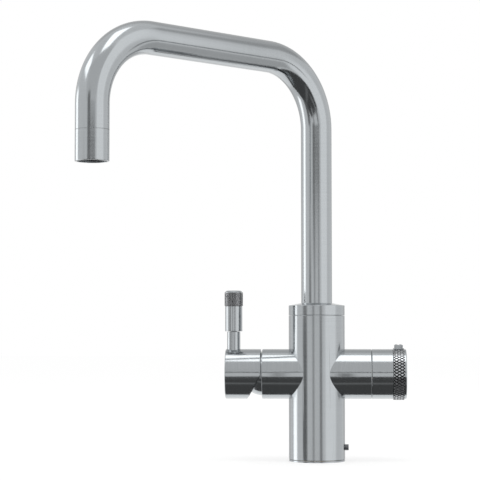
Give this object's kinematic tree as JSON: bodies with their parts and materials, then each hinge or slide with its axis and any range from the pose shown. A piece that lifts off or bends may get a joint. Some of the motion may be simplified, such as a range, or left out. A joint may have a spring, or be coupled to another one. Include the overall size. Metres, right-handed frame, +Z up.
{
  "type": "boiling water tap",
  "caption": "Brushed steel kitchen tap with a square-bend swivel spout, an upright mixer lever on the left arm and a knurled boiling water handle with safety button on the right.",
  "frame": {"origin": "axis of the round body on the worktop", "axes": "+Z up the body; +X along the right arm, which carries the boiling water handle; -X along the left arm, which carries the mixer handle; -Y towards the user. The spout stands turned to the front left."},
  "size_m": [0.2685, 0.2194, 0.3692],
  "materials": {
    "brushed_steel": "fine brushed stainless steel",
    "knurled_steel": "stainless steel with a fine knurl",
    "dark_steel": "dark stainless steel of screws, pin and spring",
    "brass": "turned brass",
    "rubber": "black rubber",
    "ceramic": "lapped ceramic",
    "grey_plastic": "grey moulded plastic",
    "white_plastic": "white bearing plastic",
    "silicone": "translucent hose silicone"
  },
  "bodies": {
    "tap_body": {"main_body": "brushed_steel", "base_ring": "brushed_steel", "base_gasket": "rubber", "foot_insert": "brass", "body_clamp_screw": "dark_steel", "hot_tail": "brass", "cold_tail": "brass", "boiling_tail": "brass", "filtered_tail": "brass", "port_seal": "rubber", "cartridge_base": "grey_plastic", "fixed_disc": "ceramic", "cartridge_housing": "grey_plastic", "clamp_nut": "brass", "trim_dome": "brushed_steel", "valve_seal": "rubber", "valve_body": "brass", "valve_lock_nut": "brass", "valve_fixed_disc": "ceramic", "lower_bearing": "white_plastic", "upper_bearing": "white_plastic", "spout_retaining_screw": "dark_steel"},
    "spout": {"spout_collar": "brushed_steel", "collar_grub_screw": "dark_steel", "spout_tube": "brushed_steel", "inner_tube": "silicone", "spout_spigot": "brass", "lower_o_ring": "rubber", "upper_o_ring": "rubber", "outlet_housing": "brushed_steel", "outlet_o_ring": "rubber", "aerator_cage": "dark_steel", "aerator_insert": "grey_plastic", "aerator_seal": "rubber"},
    "mixer_rotor": {"cartridge_rotor": "white_plastic", "stem_pivot_pin": "dark_steel"},
    "mixer_disc": {"moving_disc": "ceramic", "disc_driver": "white_plastic"},
    "mixer_handle": {"cartridge_stem": "brass", "handle_cap": "brushed_steel", "handle_grub_screw": "dark_steel", "lever_stem": "brushed_steel", "lever_sleeve": "brushed_steel", "lever_grip": "knurled_steel", "grip_cap": "brushed_steel"},
    "boiling_handle": {"valve_moving_disc": "ceramic", "valve_spindle": "brass", "handle_hub": "grey_plastic", "handle_sleeve": "brushed_steel", "knurled_ring": "knurled_steel", "end_cap": "brushed_steel", "hub_screw": "dark_steel", "button_spring": "dark_steel"},
    "safety_button": {"safety_button": "knurled_steel"}
  },
  "joints": [
    {"name": "spout_swivel", "type": "hinge", "parent": "tap_body", "child": "spout", "pos_m": [0, 0, 0.1288], "axis": [0, 0, 1], "range_deg": [-75.84, 164.16]},
    {"name": "mixer_turn", "type": "hinge", "parent": "tap_body", "child": "mixer_rotor", "pos_m": [-0.048, 0, 0.0771], "axis": [1, 0, 0], "range_deg": [-45, 45]},
    {"name": "mixer_tilt", "type": "hinge", "parent": "mixer_rotor", "child": "mixer_handle", "pos_m": [-0.048, 0, 0.0771], "axis": [0, -1, 0], "range_deg": [0, 25]},
    {"name": "disc_slide", "type": "slide", "parent": "mixer_rotor", "child": "mixer_disc", "axis": [0, 0, 1], "range_m": [0, 0.0053]},
    {"name": "boiling_turn", "type": "hinge", "parent": "tap_body", "child": "boiling_handle", "pos_m": [0.07, 0, 0.0771], "axis": [1, 0, 0], "range_deg": [-90, 90]},
    {"name": "button_press", "type": "slide", "parent": "boiling_handle", "child": "safety_button", "axis": [0, 0, -1], "range_m": [0, 0.0025], "stiffness_N_per_m": 400, "springref_m": -0.003, "deforming": ["button_spring"]}
  ],
  "couplings": [
    {"joint": "disc_slide", "follows": "mixer_tilt", "m_per_rad": 0.012}
  ]
}
